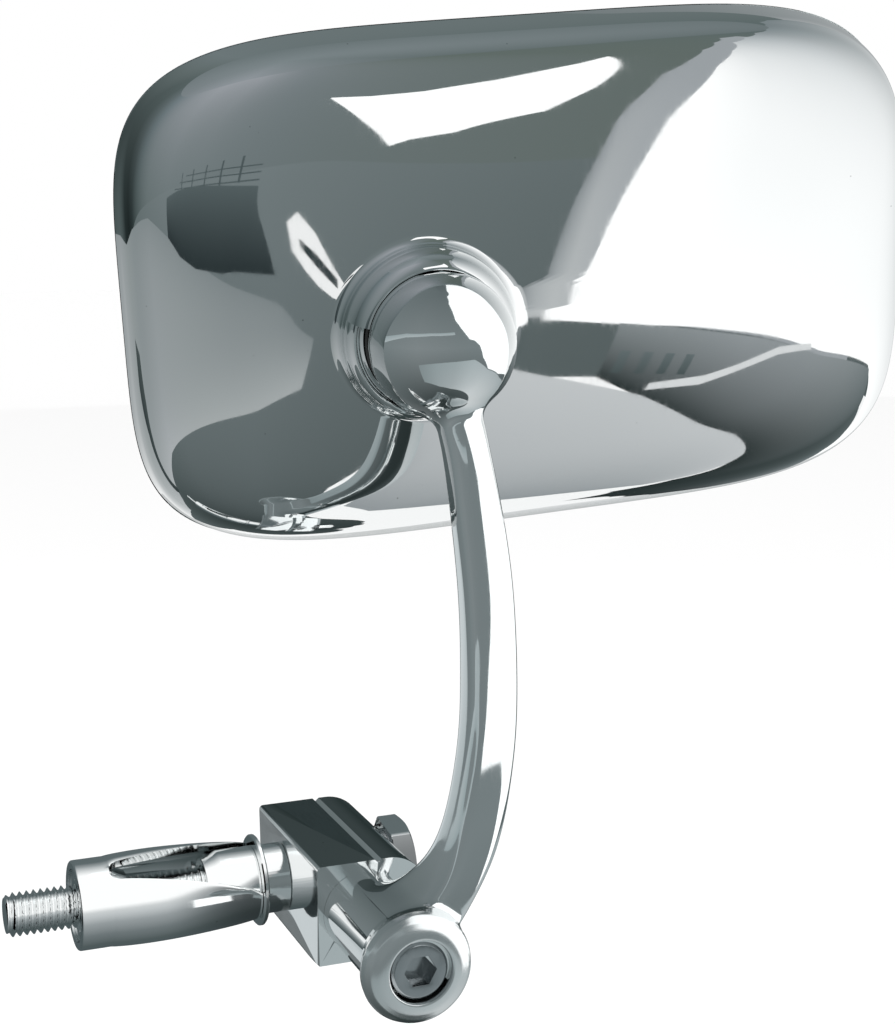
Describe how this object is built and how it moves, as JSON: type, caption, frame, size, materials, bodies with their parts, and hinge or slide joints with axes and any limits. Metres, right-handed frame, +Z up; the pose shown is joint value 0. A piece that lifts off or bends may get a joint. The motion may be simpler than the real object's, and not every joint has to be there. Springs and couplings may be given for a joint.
{
  "type": "motorcycle bar-end mirror",
  "caption": "Rectangular chromed rear-view mirror with a convex glass, on a curved cast arm with a ball joint, a clamp block and a slotted sleeve that expands inside a handlebar's end.",
  "frame": {"origin": "on the handlebar's axis, in the middle of the expander sleeve's solid collar", "axes": "+X along the handlebar, outwards; +Y towards the rider, the way the glass looks; +Z up"},
  "size_m": [0.1812, 0.0705, 0.1708],
  "materials": {
    "chrome_cast": "polished chrome plate on a cast part",
    "chrome_sheet": "polished chrome plate on pressed sheet",
    "chrome_turned": "bright plate on turned parts",
    "steel_spring": "zinc plated spring steel",
    "steel_screw": "zinc plated screw",
    "plastic_liner": "moulded black acetal",
    "rubber_black": "moulded black rubber",
    "foam_black": "closed-cell foam",
    "mirror_glass": "back-silvered convex glass"
  },
  "bodies": {
    "expander": {"expander_bolt": "chrome_turned", "bolt_lock_washer": "steel_spring", "expander_nut": "chrome_turned", "expander_sleeve": "chrome_turned", "cone_bush": "chrome_turned", "flange_washer": "chrome_turned", "spacer": "chrome_turned"},
    "block": {"clamp_block": "chrome_cast", "pivot_screw": "steel_screw", "pivot_lock_washer": "steel_spring"},
    "arm": {"arm": "chrome_cast", "joint_screw": "steel_screw", "disc_spring_outer": "steel_spring", "disc_spring_inner": "steel_spring"},
    "saddle": {"saddle_washer": "steel_screw"},
    "liner": {"seat_liner": "plastic_liner"},
    "mirror": {"shell": "chrome_sheet", "gasket": "rubber_black", "glass": "mirror_glass", "backing_pad": "foam_black"}
  },
  "joints": [
    {"name": "block_turn", "type": "hinge", "parent": "expander", "child": "block", "pos_m": [0.0463, 0, 0], "axis": [1, 0, 0], "range_deg": [-60, 60]},
    {"name": "arm_swing", "type": "hinge", "parent": "block", "child": "arm", "pos_m": [0.0448, -0.038, 0], "axis": [0, 1, 0], "range_deg": [-45, 45]},
    {"name": "mirror_twist", "type": "hinge", "parent": "arm", "child": "saddle", "pos_m": [0.0632, -0.0187, 0.1003], "axis": [0.0688, 0.9836, 0.1668], "range_deg": [-20, 20]},
    {"name": "mirror_pan", "type": "hinge", "parent": "saddle", "child": "liner", "pos_m": [0.0632, -0.0187, 0.1003], "axis": [-0.0795, -0.1612, 0.9837], "range_deg": [-10, 10]},
    {"name": "mirror_tilt", "type": "hinge", "parent": "liner", "child": "mirror", "pos_m": [0.0632, -0.0187, 0.1003], "axis": [0.9945, -0.0809, 0.0671], "range_deg": [-10, 10]}
  ]
}
